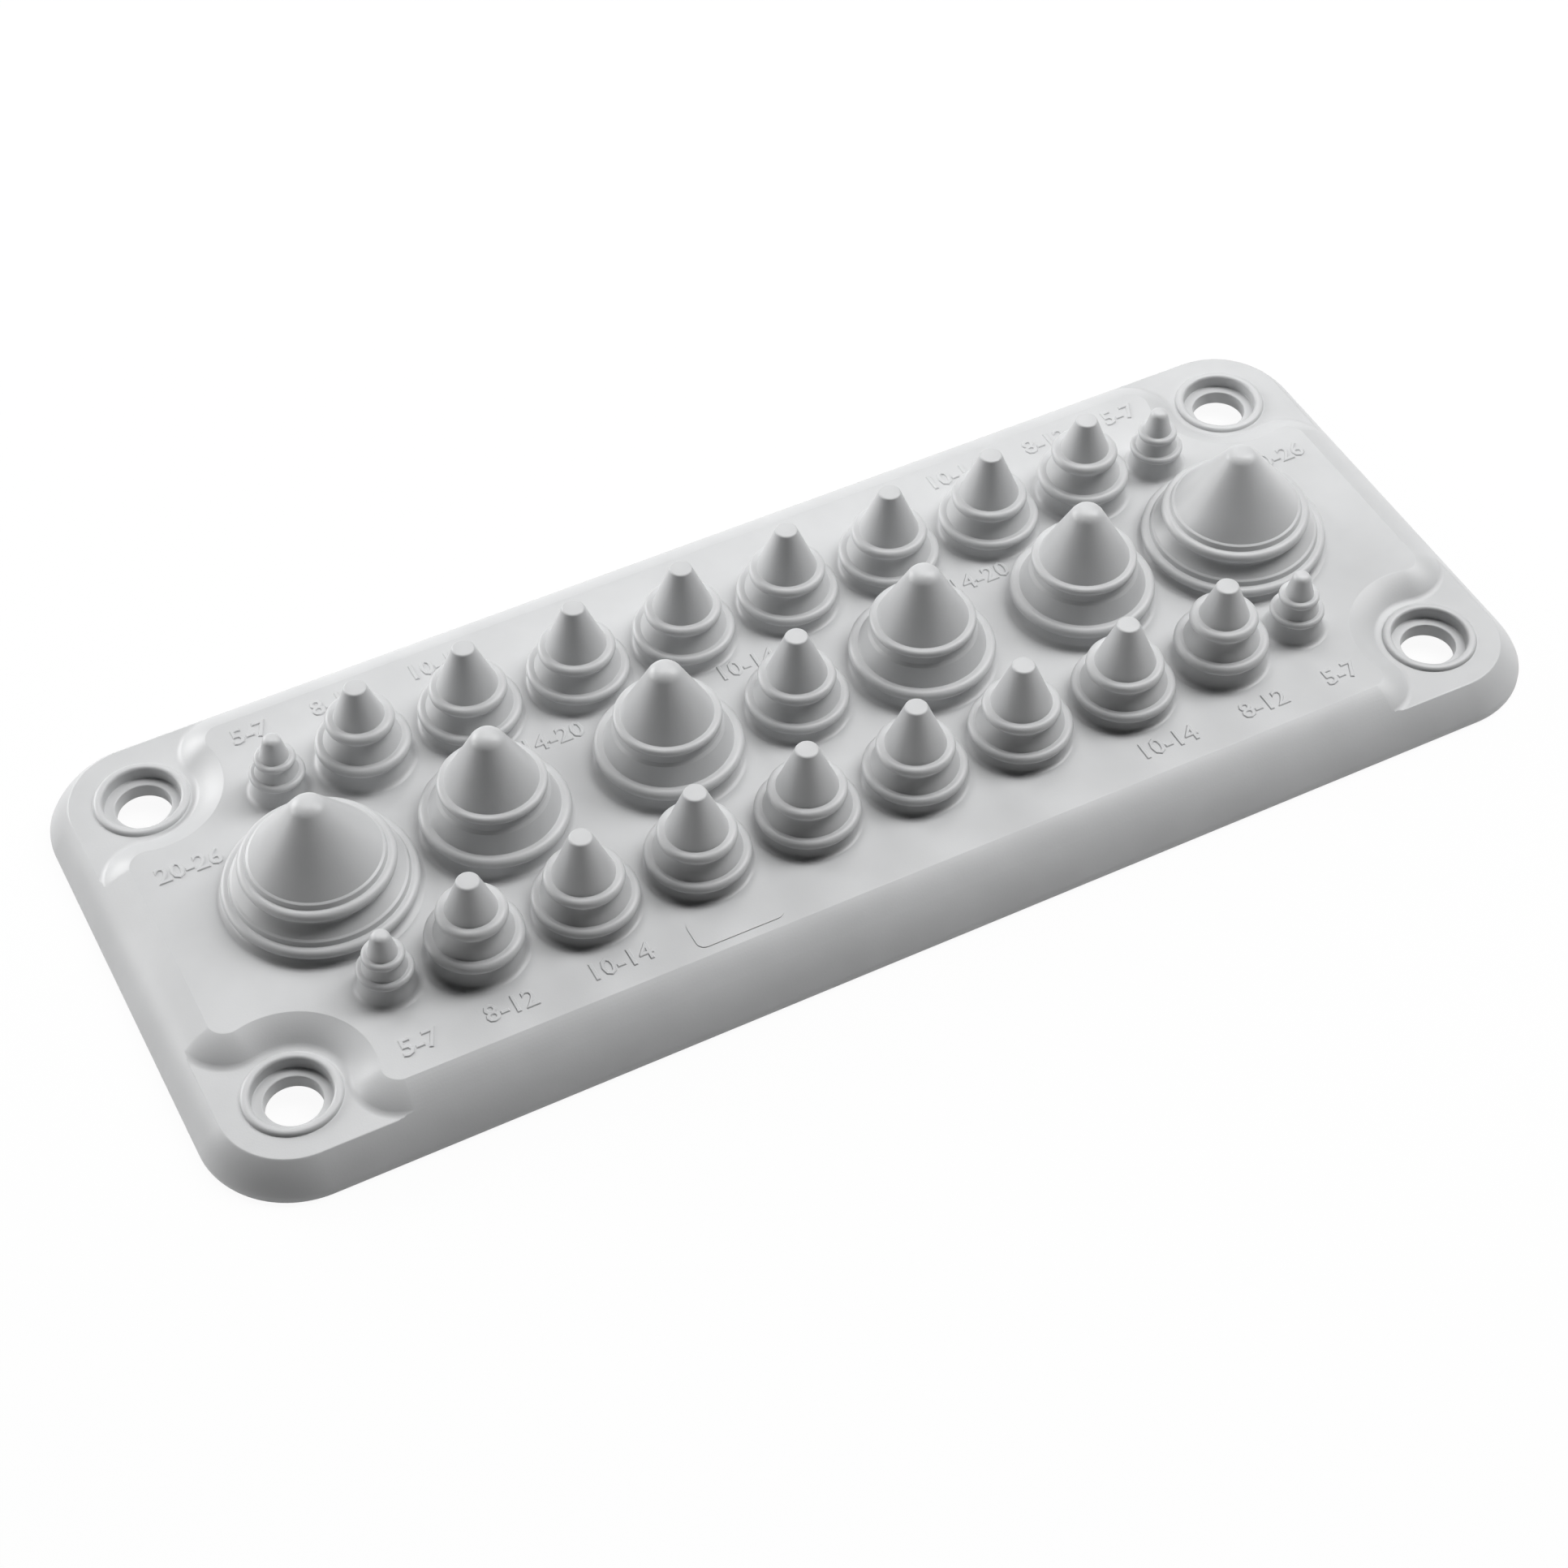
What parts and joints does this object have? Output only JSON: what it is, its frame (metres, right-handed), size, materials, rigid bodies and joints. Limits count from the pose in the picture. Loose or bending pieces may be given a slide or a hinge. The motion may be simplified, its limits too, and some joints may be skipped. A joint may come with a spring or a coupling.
{
  "type": "cable entry plate",
  "caption": "Rectangular elastomer plate with stepped hollow cones that are cut to size to pass and seal cables through an enclosure wall.",
  "frame": {"origin": "middle of the underside, in the plane of the sealing rim", "axes": "+X along the plate's length, +Y along its width, +Z outwards, the way the cones point"},
  "size_m": [0.2132, 0.0882, 0.0268],
  "materials": {
    "elastomer": "satin, fine moulded grain"
  },
  "bodies": {
    "root": {"entry_plate": "elastomer"}
  },
  "joints": []
}
